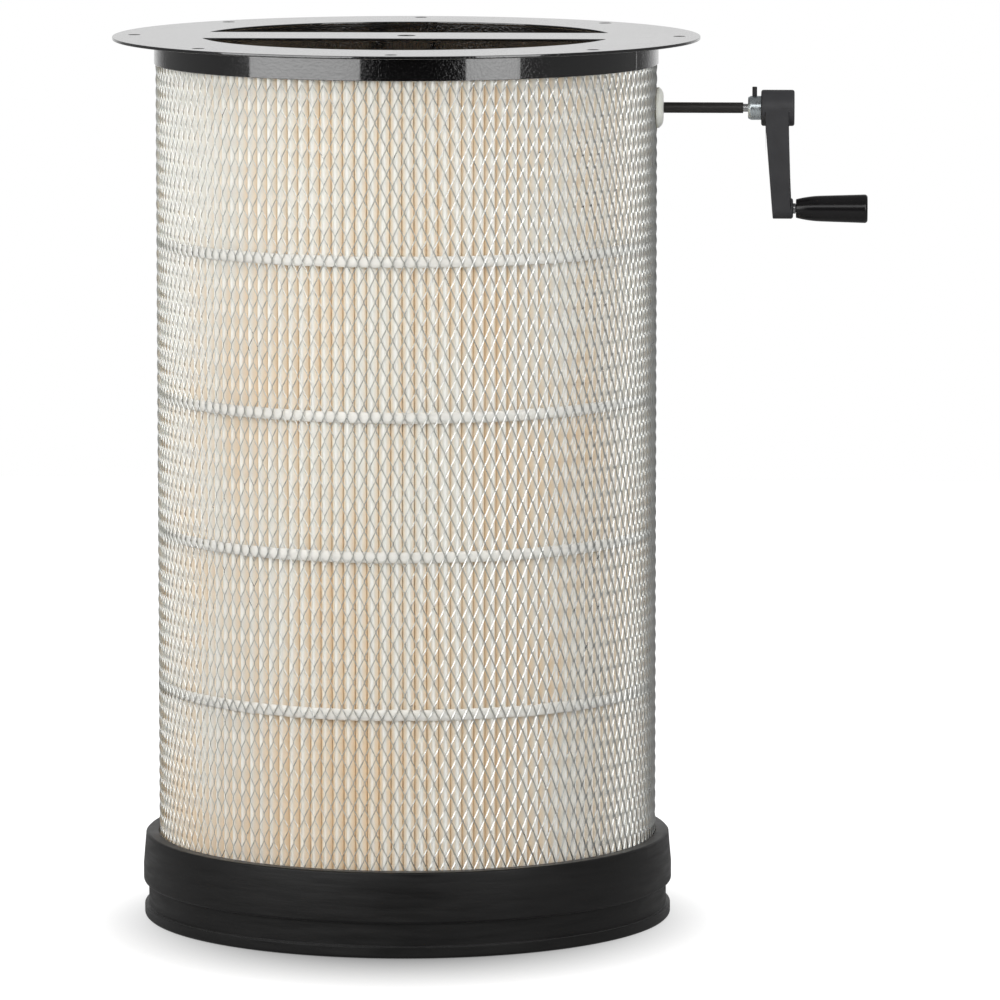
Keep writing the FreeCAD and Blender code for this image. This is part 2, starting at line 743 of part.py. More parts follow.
def paddle_arm(height):
    """Flat bar on edge, welded through a boss that is clamped on the shaft."""
    half = arm_bar_height / 2
    bar = box((-arm_bar_reach, -arm_bar_thickness / 2, height - half),
              (arm_bar_reach, arm_bar_thickness / 2, height + half))
    boss = cylinder(arm_boss_radius, height - half, height + half)
    holes = paddle_bolt_holes()
    holes += [half_turn(hole) for hole in holes]
    holes.append(cylinder(paddle_shaft_radius, height - half, height + half))
    holes.append(arm_screw(height, 0))
    return bar.fuse(boss).cut(holes).removeSplitter()


def arm_screw(height, start=paddle_shaft_radius):
    screw = cylinder(arm_screw_radius, start, paddle_shaft_radius + arm_screw_length)
    return along_y(screw, 0, height)


def arm_screws():
    screws = []
    for height in arm_heights:
        socket = hexagon(grub_socket_across, paddle_shaft_radius + arm_screw_length - grub_socket_depth,
                         paddle_shaft_radius + arm_screw_length)
        screws.append(arm_screw(height).cut(along_y(socket, 0, height)))
    return Part.makeCompound(screws)


def paddle_rail():
    """Flat strip bolted to the ends of the arms."""
    rail = box((rail_inner_x, arm_bar_thickness / 2, flap_bottom_z + rail_end_inset),
               (arm_bar_reach, rail_outside_y, flap_top_z - rail_end_inset))
    return rail.cut(paddle_bolt_holes())


def rubber_flap():
    """Strip whose outer edge runs along the inner folds of the pleats."""
    tip_x = math.sqrt(flap_tip_radius ** 2 - flap_outside_y ** 2)
    flap = box((flap_inner_x, rail_outside_y, flap_bottom_z), (tip_x, flap_outside_y, flap_top_z))
    return flap.cut(paddle_bolt_holes())


def clamp_strip():
    strip = box((clamp_inner_x, flap_outside_y, flap_bottom_z + rail_end_inset),
                (clamp_outer_x, clamp_outside_y, flap_top_z - rail_end_inset))
    return strip.cut(paddle_bolt_holes())


def nut_seat(height):
    """Where a bolt's nut bears: behind the arm, or behind the rail between arms."""
    return -arm_bar_thickness / 2 if height in arm_heights else arm_bar_thickness / 2


def paddle_bolts():
    bolts = []
    for height in paddle_bolt_heights():
        tip = nut_seat(height) - paddle_nut_height - paddle_bolt_tip
        head = hexagon(paddle_bolt_head_across, clamp_outside_y, clamp_outside_y + paddle_bolt_head_height)
        bolt = cylinder(paddle_bolt_radius, tip, clamp_outside_y).fuse(head)
        bolts.append(along_y(bolt, paddle_bolt_x, height))
    return Part.makeCompound(bolts + [half_turn(bolt) for bolt in bolts])


def paddle_nuts():
    nuts = []
    for height in paddle_bolt_heights():
        seat = nut_seat(height)
        nut = hexagon(paddle_bolt_head_across, seat - paddle_nut_height, seat)
        nut = nut.cut(cylinder(paddle_bolt_radius, seat - paddle_nut_height, seat))
        nuts.append(along_y(nut, paddle_bolt_x, height))
    return Part.makeCompound(nuts + [half_turn(nut) for nut in nuts])


def thrust_collar():
    return tube(thrust_collar_radius, paddle_shaft_radius,
                thrust_collar_z, thrust_collar_z + thrust_collar_height)


def retaining_ring():
    top = steady_bar_z - end_float
    return tube(retaining_ring_radius, paddle_shaft_radius, top - retaining_ring_height, top)


def all_pieces():
    pieces = {
        "inlet_flange": inlet_flange(),
        "upper_outer_band": upper_outer_band(),
        "upper_inner_band": upper_inner_band(),
        "potting_ring": potting_ring(),
        "pleated_media": pleated_media(),
        "expanded_metal_jacket": expanded_metal_jacket(),
        "rubber_collar": rubber_collar(),
        "lower_inner_band": lower_inner_band(),
        "lower_steady_bar": lower_steady_bar(),
        "steady_bush": steady_bush(),
        "gear_bracket": gear_bracket(),
        "bracket_shaft_bush": bracket_shaft_bush(),
        "bracket_thrust_bush": bracket_thrust_bush(),
        "wall_bush": wall_bush(),
        "wall_bush_nut": wall_bush_nut(),
        "drive_shaft": drive_shaft(),
        "bevel_pinion": bevel_pinion(),
        "pinion_screw": as_pinion(hub_screw()),
        "shaft_sleeve": shaft_sleeve(),
        "hub_insert": hub_insert(),
        "hub_grub_screw": hub_grub_screw(),
        "crank_arm": crank_arm(),
        "handle_pin": handle_pin(),
        "handle_grip": handle_grip(),
        "paddle_shaft": paddle_shaft(),
        "bevel_gear": bevel_gear(),
        "gear_screw": as_gear(hub_screw()),
        "arm_screws": arm_screws(),
        "paddle_bolts": paddle_bolts(),
        "paddle_nuts": paddle_nuts(),
        "thrust_collar": thrust_collar(),
        "retaining_ring": retaining_ring(),
    }
    for number, height in enumerate(bead_heights, 1):
        pieces[f"glue_bead_{number}"] = glue_bead(height)
    for name, height in zip(("lower", "middle", "upper"), arm_heights):
        pieces[f"{name}_paddle_arm"] = paddle_arm(height)
    for name, place in (("right", Part.Shape.copy), ("left", half_turn)):
        pieces[f"{name}_paddle_rail"] = place(paddle_rail())
        pieces[f"{name}_rubber_flap"] = place(rubber_flap())
        pieces[f"{name}_clamp_strip"] = place(clamp_strip())
    return pieces


os.makedirs("parts", exist_ok=True)
for node, shape in all_pieces().items():
    shape.exportStep(f"parts/{node}.step")
    print(node, len(shape.Solids), round(shape.Volume), shape.isValid())
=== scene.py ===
"""Dresses the pleated dust cartridge: raised mesh, folded paper, paint, rubber and the crank."""
import json
import math

import bpy
from mathutils import Matrix, Vector


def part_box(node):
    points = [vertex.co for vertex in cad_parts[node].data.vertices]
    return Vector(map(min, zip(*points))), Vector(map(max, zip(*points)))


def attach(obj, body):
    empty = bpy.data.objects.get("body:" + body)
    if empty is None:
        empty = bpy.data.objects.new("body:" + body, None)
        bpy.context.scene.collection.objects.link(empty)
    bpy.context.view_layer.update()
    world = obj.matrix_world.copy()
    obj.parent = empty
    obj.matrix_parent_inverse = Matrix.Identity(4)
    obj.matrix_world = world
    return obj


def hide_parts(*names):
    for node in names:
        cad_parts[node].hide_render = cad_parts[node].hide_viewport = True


bl_info = {
    "name": "Pleated dust cartridge",
    "version": (1, 0, 0),
    "blender": (4, 5, 0),
    "location": "View3D > Sidebar > Cartridge",
    "description": "Builds the surfaces of a pleated dust cartridge with a hand-cranked cleaner",
    "category": "Add Mesh",
}

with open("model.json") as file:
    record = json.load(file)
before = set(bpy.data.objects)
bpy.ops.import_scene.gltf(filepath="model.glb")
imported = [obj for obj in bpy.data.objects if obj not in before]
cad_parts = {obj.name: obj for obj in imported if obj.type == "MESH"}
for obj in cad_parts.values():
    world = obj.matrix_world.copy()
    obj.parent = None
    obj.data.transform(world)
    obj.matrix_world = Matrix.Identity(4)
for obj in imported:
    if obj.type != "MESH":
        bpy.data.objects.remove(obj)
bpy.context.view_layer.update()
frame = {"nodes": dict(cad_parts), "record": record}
record = frame["record"]
body_of = {node: body for body, nodes in record["behaviour"]["bodies"].items() for node in nodes}
slot_of = {part["node"]: part["material_slot"] for part in record["subparts"]}

jacket_low, jacket_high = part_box("expanded_metal_jacket")
media_low, media_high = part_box("pleated_media")
bush_low, bush_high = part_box("wall_bush")
bush_reach = (bush_high.z - bush_low.z) / 2
crank_z = (bush_low.z + bush_high.z) / 2

SAME_POINT = 1e-6       # points nearer than this are one
SEAM = 1e-5             # points nearer than this are joined where copies or turns meet


# Sizes and colours that a user would change

class JacketSizes(bpy.types.PropertyGroup):
    columns: bpy.props.IntProperty(
        name="Columns", description="Diamonds round the jacket", default=138, min=12)
    rows: bpy.props.IntProperty(
        name="Half rows", description="Knuckles along one strand", default=64, min=4)
    strand_width: bpy.props.FloatProperty(
        name="Strand width", description="Width of one slit strand", default=0.0013, unit="LENGTH")
    sheet_thickness: bpy.props.FloatProperty(
        name="Sheet thickness", description="Thickness of the slit sheet",
        default=0.0006, unit="LENGTH")
    strand_lean: bpy.props.FloatProperty(
        name="Strand lean", description="How far a strand turns out of the sheet, half way along",
        default=math.radians(23), subtype="ANGLE")
    knuckle_lean: bpy.props.FloatProperty(
        name="Knuckle lean", description="How far a knuckle turns out of the sheet",
        default=math.radians(56), subtype="ANGLE")
    knuckle_length: bpy.props.FloatProperty(
        name="Knuckle length", description="Length over which two strands stay joined",
        default=0.0022, unit="LENGTH")


class PleatSizes(bpy.types.PropertyGroup):
    count: bpy.props.IntProperty(
        name="Pleats", description="Folds round the cartridge", default=129, min=12)
    crown_radius: bpy.props.FloatProperty(
        name="Crown rounding", description="Radius of each outer fold",
        default=0.0022, unit="LENGTH")
    crown_reach: bpy.props.FloatProperty(
        name="Crown reach", description="Distance of the outer folds from the axis",
        default=0.2462, unit="LENGTH")
    root_reach: bpy.props.FloatProperty(
        name="Root reach", description="Distance of the inner folds from the axis",
        default=0.2080, unit="LENGTH")
    bulge_depth: bpy.props.FloatProperty(
        name="Bulge depth", description="How far behind the outer folds their sides bulge most",
        default=0.0075, unit="LENGTH")
    bulge_gap: bpy.props.FloatProperty(
        name="Bulge gap", description="Gap between two folds where they bulge most",
        default=0.0003, unit="LENGTH")
    levels: bpy.props.IntProperty(
        name="Levels", description="Steps of the paper's height that can waver", default=20, min=2)
    waver: bpy.props.FloatProperty(
        name="Waver", description="How unevenly the folds stand", default=0.0014, unit="LENGTH")
    paper: bpy.props.FloatProperty(
        name="Paper thickness", description="Thickness of the filter paper",
        default=0.0007, unit="LENGTH")
    bead_dip: bpy.props.FloatProperty(
        name="Bead dip", description="How far the glue dips between two folds",
        default=0.0001, unit="LENGTH")


class Colours(bpy.types.PropertyGroup):
    paint: bpy.props.FloatVectorProperty(
        name="Paint", description="Gloss paint of the sheet metal",
        default=(0.0026, 0.0024, 0.0026), subtype="COLOR", min=0, max=1)
    paper_crown: bpy.props.FloatVectorProperty(
        name="Paper, outer folds", description="Paper where light reaches it",
        default=(0.94, 0.92, 0.86), subtype="COLOR", min=0, max=1)
    # Painted shade: this tan stands for the shade deep between the folds
    paper_fold_shade: bpy.props.FloatVectorProperty(
        name="Paper, inner folds", description="Paper deep between the folds",
        default=(0.93, 0.77, 0.57), subtype="COLOR", min=0, max=1)
    glue: bpy.props.FloatVectorProperty(
        name="Glue", description="Beads that hold the folds apart",
        default=(0.82, 0.81, 0.75), subtype="COLOR", min=0, max=1)
    zinc: bpy.props.FloatVectorProperty(
        name="Zinc", description="Coated steel of the mesh",
        default=(0.66, 0.67, 0.65), subtype="COLOR", min=0, max=1)
    collar: bpy.props.FloatVectorProperty(
        name="Collar", description="Moulded rubber collar",
        default=(0.0042, 0.0040, 0.0039), subtype="COLOR", min=0, max=1)
    nylon: bpy.props.FloatVectorProperty(
        name="Nylon", description="White bush in the wall",
        default=(0.74, 0.75, 0.70), subtype="COLOR", min=0, max=1)
    arm: bpy.props.FloatVectorProperty(
        name="Arm", description="Moulded crank arm",
        default=(0.032, 0.032, 0.035), subtype="COLOR", min=0, max=1)
    grip: bpy.props.FloatVectorProperty(
        name="Grip", description="Turning grip",
        default=(0.006, 0.0055, 0.006), subtype="COLOR", min=0, max=1)


class StageSettings(bpy.types.PropertyGroup):
    camera_azimuth: bpy.props.FloatProperty(
        name="Camera azimuth", description="How far round to the right the camera stands",
        default=math.radians(3.17), subtype="ANGLE")
    camera_distance: bpy.props.FloatProperty(
        name="Camera distance", description="Along the floor, from the cartridge's axis",
        default=7.928, unit="LENGTH")
    camera_height: bpy.props.FloatProperty(
        name="Camera height", description="Height of the lens over the floor",
        default=1.4331, unit="LENGTH")
    camera_drop: bpy.props.FloatProperty(
        name="Camera drop", description="How far the camera looks below the horizon",
        default=math.radians(7.294), subtype="ANGLE")
    camera_turn: bpy.props.FloatProperty(
        name="Camera turn", description="How far the camera looks past the axis, towards the crank",
        default=math.radians(0.674), subtype="ANGLE")
    lens: bpy.props.FloatProperty(
        name="Lens", description="Focal length", default=286.65, unit="CAMERA")
    ambient: bpy.props.FloatProperty(
        name="Ambient", description="Light from all round", default=0.94, min=0)


# Selecting and finishing

def deselect():
    if bpy.context.object and bpy.context.object.mode != "OBJECT":
        bpy.ops.object.mode_set(mode="OBJECT")
    bpy.ops.object.select_all(action="DESELECT")


def activate(piece):
    deselect()
    piece.select_set(True)
    bpy.context.view_layer.objects.active = piece


def choose(piece, test, kind="VERT"):
    """Opens a piece in edit mode and selects the vertices, edges or faces whose middle passes."""
    activate(piece)
    bpy.ops.object.mode_set(mode="EDIT")
    bpy.ops.mesh.select_mode(type=kind)
    bpy.ops.mesh.select_all(action="DESELECT")
    bpy.ops.object.mode_set(mode="OBJECT")
    points = piece.data.vertices
    if kind == "VERT":
        for point in points:
            point.select = test(point.co)
    elif kind == "EDGE":
        for edge in piece.data.edges:
            edge.select = test((points[edge.vertices[0]].co + points[edge.vertices[1]].co) / 2)
    else:
        for face in piece.data.polygons:
            face.select = test(face.center)
    bpy.ops.object.mode_set(mode="EDIT")


def place_in_mesh(piece):
    activate(piece)
    bpy.ops.object.transform_apply(location=True, rotation=True, scale=True)


def modify(piece, kind, **settings):
    """Adds a modifier, sets it and applies it."""
    activate(piece)
    modifier = piece.modifiers.new(kind.title(), kind)
    for name, value in settings.items():
        setattr(modifier, name, value)
    bpy.ops.object.modifier_apply(modifier=modifier.name)


def array_round(piece, count, share=1.0):
    """Repeats a piece round a share of the cartridge's axis."""
    bpy.ops.object.empty_add(rotation=(0, 0, 2 * math.pi * share / count))
    step = bpy.context.object
    modify(piece, "ARRAY", count=count, use_relative_offset=False, use_object_offset=True,
           offset_object=step, use_merge_vertices=True, use_merge_vertices_cap=True,
           merge_threshold=SEAM)
    bpy.data.objects.remove(step)


def outward(piece):
    """Turns every face of a closed piece outwards."""
    choose(piece, lambda place: True, "FACE")
    bpy.ops.mesh.normals_make_consistent(inside=False)
    bpy.ops.object.mode_set(mode="OBJECT")


def hand_over(piece, node, smooth_angle):
    """Smooths a finished piece and gives it its slot's material and its body."""
    activate(piece)
    bpy.ops.object.shade_smooth_by_angle(angle=math.radians(smooth_angle))
    piece.data.materials.clear()
    piece.data.materials.append(finish_of(slot_of[node]))
    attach(piece, body_of[node])
    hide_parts(node)


WELD = 2e-6             # points of a CAD copy nearer than this are one
FLAT_ANGLE = 0.5        # degrees up to which its faces count as one flat face
SHARP_ANGLE = 40        # degrees from which its edges are rounded


def dress(node, edge, segments=2, smooth_angle=35):
    """Welds a copy of a CAD piece, rounds its edges and gives it its finish."""
    piece = bpy.data.objects.new(f"{node}_finished", frame["nodes"][node].data.copy())
    bpy.context.scene.collection.objects.link(piece)
    choose(piece, lambda place: True, "VERT")
    bpy.ops.mesh.remove_doubles(threshold=WELD)
    bpy.ops.mesh.dissolve_limited(angle_limit=math.radians(FLAT_ANGLE))
    bpy.ops.object.mode_set(mode="OBJECT")
    modify(piece, "BEVEL", width=edge, segments=segments, limit_method="ANGLE",
           angle_limit=math.radians(SHARP_ANGLE), use_clamp_overlap=False, miter_outer="MITER_ARC")
    hand_over(piece, node, smooth_angle)
    # Large flat faces keep a flat shade beside their rounded edges
    modify(piece, "WEIGHTED_NORMAL", keep_sharp=True, weight=100)


# Tools for finishes

finishes = {}


def finish_of(slot):
    """The material of a slot, made once."""
    if slot not in finishes:
        finishes[slot] = FINISHES[slot](bpy.context.scene.cartridge_colours)
    return finishes[slot]


def surface(name, colour, roughness, metallic=0.0, **sockets):
    """Material whose plain values stand on the shader's own sockets."""
    material = bpy.data.materials.new(name)
    material.use_nodes = True
    shader = material.node_tree.nodes["Principled BSDF"]
    values = {"Base Color": (*colour, 1), "Roughness": roughness, "Metallic": metallic}
    values.update({socket.replace("_", " "): value for socket, value in sockets.items()})
    for socket, value in values.items():
        shader.inputs[socket].default_value = value
    return material


def shader_input(material, socket):
    return material.node_tree.nodes["Principled BSDF"].inputs[socket]


def add_node(material, kind, **inputs):
    new = material.node_tree.nodes.new(kind)
    for socket, value in inputs.items():
        new.inputs[socket.replace("_", " ")].default_value = value
    return new


def link(material, source, target):
    material.node_tree.links.new(source, target)


def noise(material, scale, stretch=(1, 1, 1), detail=3.0, kind="ShaderNodeTexNoise"):
    """Pattern with scale grains a metre in the piece's own space, squeezed by stretch."""
    place = add_node(material, "ShaderNodeTexCoord")
    mapping = add_node(material, "ShaderNodeMapping", Scale=stretch)
    texture = add_node(material, kind, Scale=scale)
    if "Detail" in texture.inputs:
        texture.inputs["Detail"].default_value = detail
    link(material, place.outputs["Object"], mapping.inputs["Vector"])
    link(material, mapping.outputs["Vector"], texture.inputs["Vector"])
    return texture.outputs[0]


def distance(material, **mapping):
    """Distance from the piece's origin, in metres, after a mapping that squeezes or shifts it."""
    place = add_node(material, "ShaderNodeTexCoord")
    mapped = add_node(material, "ShaderNodeMapping", **mapping)
    length = add_node(material, "ShaderNodeVectorMath")
    length.operation = "LENGTH"
    link(material, place.outputs["Object"], mapped.inputs["Vector"])
    link(material, mapped.outputs["Vector"], length.inputs[0])
    return length.outputs["Value"]


def calculate(material, operation, first, second):
    new = add_node(material, "ShaderNodeMath")
    new.operation = operation
    link(material, first, new.inputs[0])
    link(material, second, new.inputs[1])
    return new.outputs["Value"]


def ramp(material, factor, *stops):
    """Colours between stops of (position, colour)."""
    new = add_node(material, "ShaderNodeValToRGB")
    elements = new.color_ramp.elements
    while len(elements) < len(stops):
        elements.new(0.5)
    for element, (position, colour) in zip(elements, stops):
        element.position = position
        element.color = (*colour, 1)
    link(material, factor, new.inputs["Fac"])
    return new.outputs["Color"]


def between(material, factor, low, high, start=0.3, end=0.7):
    """Number from low to high as the factor goes from start to end."""
    new = add_node(material, "ShaderNodeMapRange")
    values = {"From Min": start, "From Max": end, "To Min": low, "To Max": high}
    for socket, value in values.items():
        new.inputs[socket].default_value = value
    link(material, factor, new.inputs["Value"])
    return new.outputs["Result"]


def mottle(material, pattern, colour, darker=0.8, lighter=1.15):
    """Varies the base colour round its middle."""
    stops = [(0.3, [c * darker for c in colour]), (0.7, [min(1.0, c * lighter) for c in colour])]
    link(material, ramp(material, pattern, *stops), shader_input(material, "Base Color"))


def roughen(material, pattern, low, high):
    """Varies the roughness from low to high."""
    link(material, between(material, pattern, low, high), shader_input(material, "Roughness"))


def relief(material, *layers):
    """Bumps from layers of (pattern, height in metres)."""
    below = None
    for pattern, height in layers:
        bump = add_node(material, "ShaderNodeBump", Strength=1.0, Distance=height)
        link(material, pattern, bump.inputs["Height"])
        if below:
            link(material, below, bump.inputs["Normal"])
        below = bump.outputs["Normal"]
    link(material, below, shader_input(material, "Normal"))


# Finishes

SHADE_REACH, PALE_REACH = 0.2385, 0.2462      # distances from the axis where painted shade makes the paper tan, and where the paper is pale
PAINTED_LIGHT_HEIGHT = 0.1                           # height from which painted light makes the paper paler upwards


def gloss_paint(colours):
    """Sprayed paint: deep gloss, orange peel and a thin film of handling marks."""
    material = surface("gloss_paint", colours.paint, 0.13,
                       Coat_Weight=1.0, Coat_Roughness=0.06, Coat_IOR=1.95)
    handling_marks = noise(material, 9, detail=6)
    roughen(material, handling_marks, 0.1, 0.17)
    ripple, peel = noise(material, 170, detail=1), noise(material, 420, detail=1)
    relief(material, (ripple, 0.0001), (peel, 0.00046))
    return material


def folded_paper(colours):
    """Cream paper with fibres along the folds: pale on the outer folds, tan with painted shade
    where it goes deep, and paler upwards with painted light.
    """
    material = surface("folded_paper", colours.paper_crown, 0.85, Subsurface_Weight=0.06)
    # Painted shade: the deeper the paper lies between the folds, the tanner it is
    reach = distance(material, Scale=(1, 1, 0))
    paleness = between(material, reach, 0, 1, start=SHADE_REACH, end=PALE_REACH)
    place = add_node(material, "ShaderNodeTexCoord")
    axes = add_node(material, "ShaderNodeSeparateXYZ")
    link(material, place.outputs["Object"], axes.inputs[0])
    streaks = noise(material, 26, stretch=(1, 1, 0.25), detail=4)
    patches = noise(material, 7, stretch=(1, 1, 0.5), detail=2)
    height = axes.outputs["Z"]
    # Random streaks and patches of tone, and painted light that makes the paper paler upwards
    for tone_and_light in (between(material, streaks, -0.2, 0.2),
                 between(material, patches, -0.25, 0.25),
                 between(material, height, -0.1, 0.3, start=PAINTED_LIGHT_HEIGHT, end=media_high.z)):
        paleness = calculate(material, "ADD", paleness, tone_and_light)
    root, crown = list(colours.paper_fold_shade), list(colours.paper_crown)
    middle = [(a + b) / 2 for a, b in zip(root, crown)]
    colour = ramp(material, paleness, (0.1, root), (0.62, middle), (0.95, crown))
    link(material, colour, shader_input(material, "Base Color"))
    fibres, cockle = noise(material, 700, stretch=(1, 1, 0.3)), noise(material, 60)
    relief(material, (fibres, 0.0001), (cockle, 0.0004))
    return material


def melted_glue(colours):
    """Hot-melt glue: milky, with slow lumps where it ran and set."""
    material = surface("melted_glue", colours.glue, 0.4, Subsurface_Weight=0.8,
                       Subsurface_Radius=(0.006, 0.006, 0.006), Subsurface_Scale=1.0)
    lumps = noise(material, 130, stretch=(1, 1, 1.6))
    relief(material, (lumps, 0.0004))
    return material


def galvanised(colours):
    """Zinc coat: soft spangles and grain on bright metal."""
    material = surface("galvanised", colours.zinc, 0.33, metallic=1.0)
    spangle = noise(material, 120, kind="ShaderNodeTexVoronoi")
    mottle(material, spangle, colours.zinc, 0.86, 1.08)
    roughen(material, noise(material, 40), 0.26, 0.4)
    grain = noise(material, 900)
    relief(material, (grain, 0.00003))
    return material


def moulded_rubber(colours):
    """Matt black rubber with faint flow marks that run round the collar."""
    material = surface("moulded_rubber", colours.collar, 0.46, Specular_IOR_Level=0.42,
                       Sheen_Weight=0.08, Sheen_Roughness=0.4)
    flow = noise(material, 16, stretch=(1, 1, 9), detail=5)
    mottle(material, flow, colours.collar, 0.6, 1.7)
    roughen(material, flow, 0.36, 0.56)
    grain = noise(material, 900, detail=2)
    relief(material, (grain, 0.00006), (flow, 0.0004))
    return material


def flap_rubber(colours):
    """Dull rubber sheet with faint streaks along the flap."""
    black = (0.02, 0.02, 0.021)
    material = surface("flap_rubber", black, 0.62)
    streaks = noise(material, 60, stretch=(1, 1, 0.2))
    mottle(material, streaks, black, 0.7, 1.4)
    grain = noise(material, 800)
    relief(material, (grain, 0.00008))
    return material


def white_nylon(colours):
    """Turned nylon: light goes a little way in."""
    material = surface("white_nylon", colours.nylon, 0.34, Subsurface_Weight=0.35,
                       Subsurface_Radius=(0.006, 0.006, 0.005))
    mottle(material, noise(material, 60), colours.nylon, 0.94, 1.04)
    grain = noise(material, 500)
    relief(material, (grain, 0.00004))
    return material


def metal(name, colour, roughness, grain=(1, 1, 1), metallic=1.0):
    """Metal with fine grain along one direction."""
    material = surface(name, colour, roughness, metallic=metallic)
    fine = noise(material, 700, stretch=grain, detail=4)
    mottle(material, fine, colour, 0.85, 1.1)
    roughen(material, fine, roughness * 0.8, roughness * 1.3)
    relief(material, (fine, 0.00002))
    return material


def plastic(name, colour, roughness, grain_height, grain_scale=900):
    """Moulded plastic with an even fine grain."""
    material = surface(name, colour, roughness)
    mottle(material, noise(material, 45, detail=5), colour, 0.85, 1.15)
    roughen(material, noise(material, 70), roughness * 0.88, roughness * 1.12)
    grain = noise(material, grain_scale, detail=2)
    relief(material, (grain, grain_height))
    return material


FINISHES = {
    "black_paint": gloss_paint,
    "potting": lambda colours: plastic(
        "cast_resin", (0.62, 0.58, 0.49), 0.5, grain_height=0.0001, grain_scale=90),
    "pleat_paper": folded_paper,
    "hot_melt_glue": melted_glue,
    "zinc_sheet": galvanised,
    "collar_rubber": moulded_rubber,
    "white_nylon": white_nylon,
    "bright_steel": lambda colours: metal(
        "bright_steel", (0.68, 0.68, 0.68), 0.34, grain=(0.1, 1, 1)),
    "zinc_plate": lambda colours: metal(
        "zinc_plate", (0.80, 0.87, 0.90), 0.3, grain=(1, 0.4, 0.4)),
    "black_oxide": lambda colours: metal(
        "black_oxide", (0.03, 0.03, 0.032), 0.36, metallic=0.5),
    "black_sleeve": lambda colours: plastic(
        "black_sleeve", (0.020, 0.018, 0.017), 0.42, grain_height=0.00003),
    "arm_plastic": lambda colours: plastic(
        "arm_plastic", tuple(colours.arm), 0.5, grain_height=0.00005),
    "grip_plastic": lambda colours: plastic(
        "grip_plastic", tuple(colours.grip), 0.2, grain_height=0.00002, grain_scale=300),
    "pin_steel": lambda colours: metal("pin_steel", (0.5, 0.5, 0.51), 0.3),
    "flap_rubber": flap_rubber,
}


# Jacket

MESH_HOLE = 0.8         # hole in the mesh for the wall bush, as a share of the bush's flange


class CARTRIDGE_OT_jacket(bpy.types.Operator):
    """Raised expanded metal round the pleats, from zigzag strands that meet in knuckles"""
    bl_idname = "cartridge.jacket"
    bl_label = "Expanded metal jacket"

    def half_turn(self, sizes):
        """Angle between two strands side by side."""
        return math.pi / sizes.columns

    def strands(self, sizes, name, turn, half_rows):
        """Every other upright strand of one half, from an angle on and so many half rows up."""
        half_row = (jacket_high.z - jacket_low.z) / sizes.rows
        reach = jacket_high.x - (sizes.strand_width * math.sin(sizes.knuckle_lean)
                                 + sizes.sheet_thickness * math.cos(sizes.knuckle_lean) / 2)
        out = sizes.strand_width / 2 * math.sin(sizes.knuckle_lean)
        side = sizes.strand_width / 2 * math.cos(sizes.knuckle_lean)
        left = Vector((reach + out, side, 0))
        right = Matrix.Rotation(self.half_turn(sizes), 3, "Z") @ Vector((reach - out, -side, 0))
        across = right - left
        bottom = Vector((0, 0, jacket_low.z - 2 * half_row + half_rows * half_row))

        # The strand's section, drawn at the lowest knuckle
        deselect()
        bpy.ops.mesh.primitive_plane_add(size=1, location=left + bottom,
                                         rotation=(0, 0, -sizes.knuckle_lean))
        strand = bpy.context.object
        strand.name = name
        strand.scale = (sizes.sheet_thickness, sizes.strand_width, 1)
        place_in_mesh(strand)
        choose(strand, lambda place: True, "FACE")
        bpy.ops.mesh.delete(type="ONLY_FACE")
        bpy.ops.mesh.select_mode(type="EDGE")
        bpy.ops.mesh.select_all(action="SELECT")

        # One zigzag: knuckle, twist and back while it crosses over, knuckle, and the same back
        knuckle = Vector((0, 0, sizes.knuckle_length))
        slope = Vector((0, 0, half_row - sizes.knuckle_length))
        there, back = (slope + across) / 2, (slope - across) / 2
        twist = sizes.knuckle_lean - sizes.strand_lean
        middle = left + bottom
        for step, turned in ((knuckle, 0), (there, twist), (there, -twist),
                             (knuckle, 0), (back, twist), (back, -twist)):
            bpy.ops.mesh.extrude_region_move(TRANSFORM_OT_translate={"value": step})
            middle = middle + step
            bpy.ops.transform.rotate(value=-turned, orient_axis="Z", center_override=middle)

        # Repeated up the jacket, with spare zigzags that are cut off above and below
        modify(strand, "ARRAY", count=sizes.rows // 2 + 3, use_relative_offset=False,
               use_constant_offset=True, constant_offset_displace=(0, 0, 2 * half_row),
               use_merge_vertices=True, merge_threshold=SAME_POINT)
        for height, keep_above in ((jacket_low.z, True), (jacket_high.z, False)):
            choose(strand, lambda place: True, "FACE")
            bpy.ops.mesh.bisect(plane_co=(0, 0, height), plane_no=(0, 0, 1), use_fill=True,
                                clear_inner=keep_above, clear_outer=not keep_above)
        outward(strand)
        strand.rotation_euler.z = turn
        place_in_mesh(strand)
        array_round(strand, sizes.columns // 2, 0.5)
        return strand

    def execute(self, context):
        sizes = context.scene.cartridge_jacket
        hole = bush_reach * MESH_HOLE

        def in_hole(place):
            return place.x > 0 and math.hypot(place.y, place.z - crank_z) < hole

        step = self.half_turn(sizes)
        for name, turn, half_rows in (("mesh_back_even", 0.0, 0), ("mesh_back_odd", step, 1),
                                      ("mesh_front_even", math.pi, 0),
                                      ("mesh_front_odd", math.pi + step, 1)):
            strands = self.strands(sizes, name, turn, half_rows)
            choose(strands, in_hole, "FACE")
            bpy.ops.mesh.delete(type="FACE")
            bpy.ops.mesh.select_all(action="SELECT")
            bpy.ops.mesh.fill_holes(sides=8)
            bpy.ops.object.mode_set(mode="OBJECT")
            hand_over(strands, "expanded_metal_jacket", 40)
        return {"FINISHED"}


# Pleats

PAPER_HOLE = 0.76               # hole in the paper, as a share of the bush's flange
HOLE_AREA = (0.15, 0.04)        # least x and most y of the paper round that hole
CROWN_POINTS = 12               # points of the full circle that a crown is half of
SHOULDER = (0.55, 0.7)          # start of the bulge, from crown to bulge, inwards and sideways
ROOT_BEND = 0.0012              # how far before its root a side turns towards it, in metres
WAVERS = ((0.045, 1.0), (0.012, 0.35))      # length of the waves in metres, share of the waver


